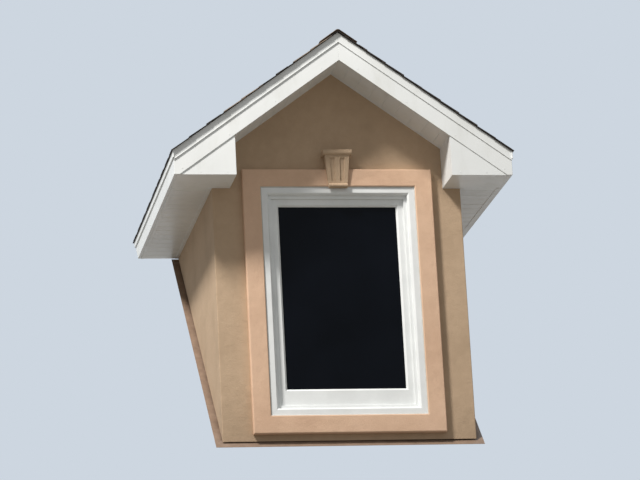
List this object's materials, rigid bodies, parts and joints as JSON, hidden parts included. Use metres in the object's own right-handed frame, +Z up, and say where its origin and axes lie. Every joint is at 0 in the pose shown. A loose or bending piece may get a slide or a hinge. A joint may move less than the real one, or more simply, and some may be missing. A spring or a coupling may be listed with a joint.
{
  "type": "dormer window",
  "caption": "Gabled dormer window with stucco walls, white boxed eaves and a raised band with a keystone round one fixed window, cut to sit on a steep shingled roof.",
  "frame": {"origin": "middle of the front sill plate's sloping underside, on the main roof's deck", "axes": "+X to the right seen from the front, +Y in towards the main ridge, +Z up; symmetric about the YZ plane"},
  "size_m": [2.226, 2.9643, 2.676],
  "materials": {
    "timber": "matt sawn softwood",
    "sheathing": "matt strand board",
    "shingle": "matt mineral granules on asphalt, brown and tan",
    "white_metal": "satin white aluminium",
    "stucco": "matt sand-finish stucco, khaki tan",
    "band_stucco": "matt sand-finish stucco, warm tan",
    "vinyl": "semi-gloss white vinyl",
    "glass": "clear sealed glazing over a dark room",
    "brown_metal": "satin brown flashing"
  },
  "bodies": {
    "root": {"front_sill_plate": "timber", "side_sole_plates": "timber", "corner_studs": "timber", "window_studs": "timber", "window_header": "timber", "header_cripples": "timber", "front_top_plate": "timber", "side_top_plates": "timber", "side_studs": "timber", "gable_studs": "timber", "rafters": "timber", "ridge_board": "timber", "valley_boards": "timber", "front_sheathing": "sheathing", "side_sheathing_left": "sheathing", "side_sheathing_right": "sheathing", "roof_deck_left": "sheathing", "roof_deck_right": "sheathing", "shingles_left": "shingle", "shingles_right": "shingle", "ridge_cap": "shingle", "rake_board_left": "white_metal", "rake_board_right": "white_metal", "rake_strip_left": "white_metal", "rake_strip_right": "white_metal", "side_fascia_left": "white_metal", "side_fascia_right": "white_metal", "eave_drip_edges": "white_metal", "side_soffit_left": "white_metal", "side_soffit_right": "white_metal", "rake_soffit_left": "white_metal", "rake_soffit_right": "white_metal", "eave_return_left": "white_metal", "eave_return_right": "white_metal", "front_wall": "stucco", "side_wall_left": "stucco", "side_wall_right": "stucco", "window_band": "band_stucco", "keystone": "stucco", "window_frame": "vinyl", "window_sash": "vinyl", "glazing_bead": "vinyl", "glass": "glass", "apron_flashing": "brown_metal", "side_flashings": "brown_metal"}
  },
  "joints": []
}
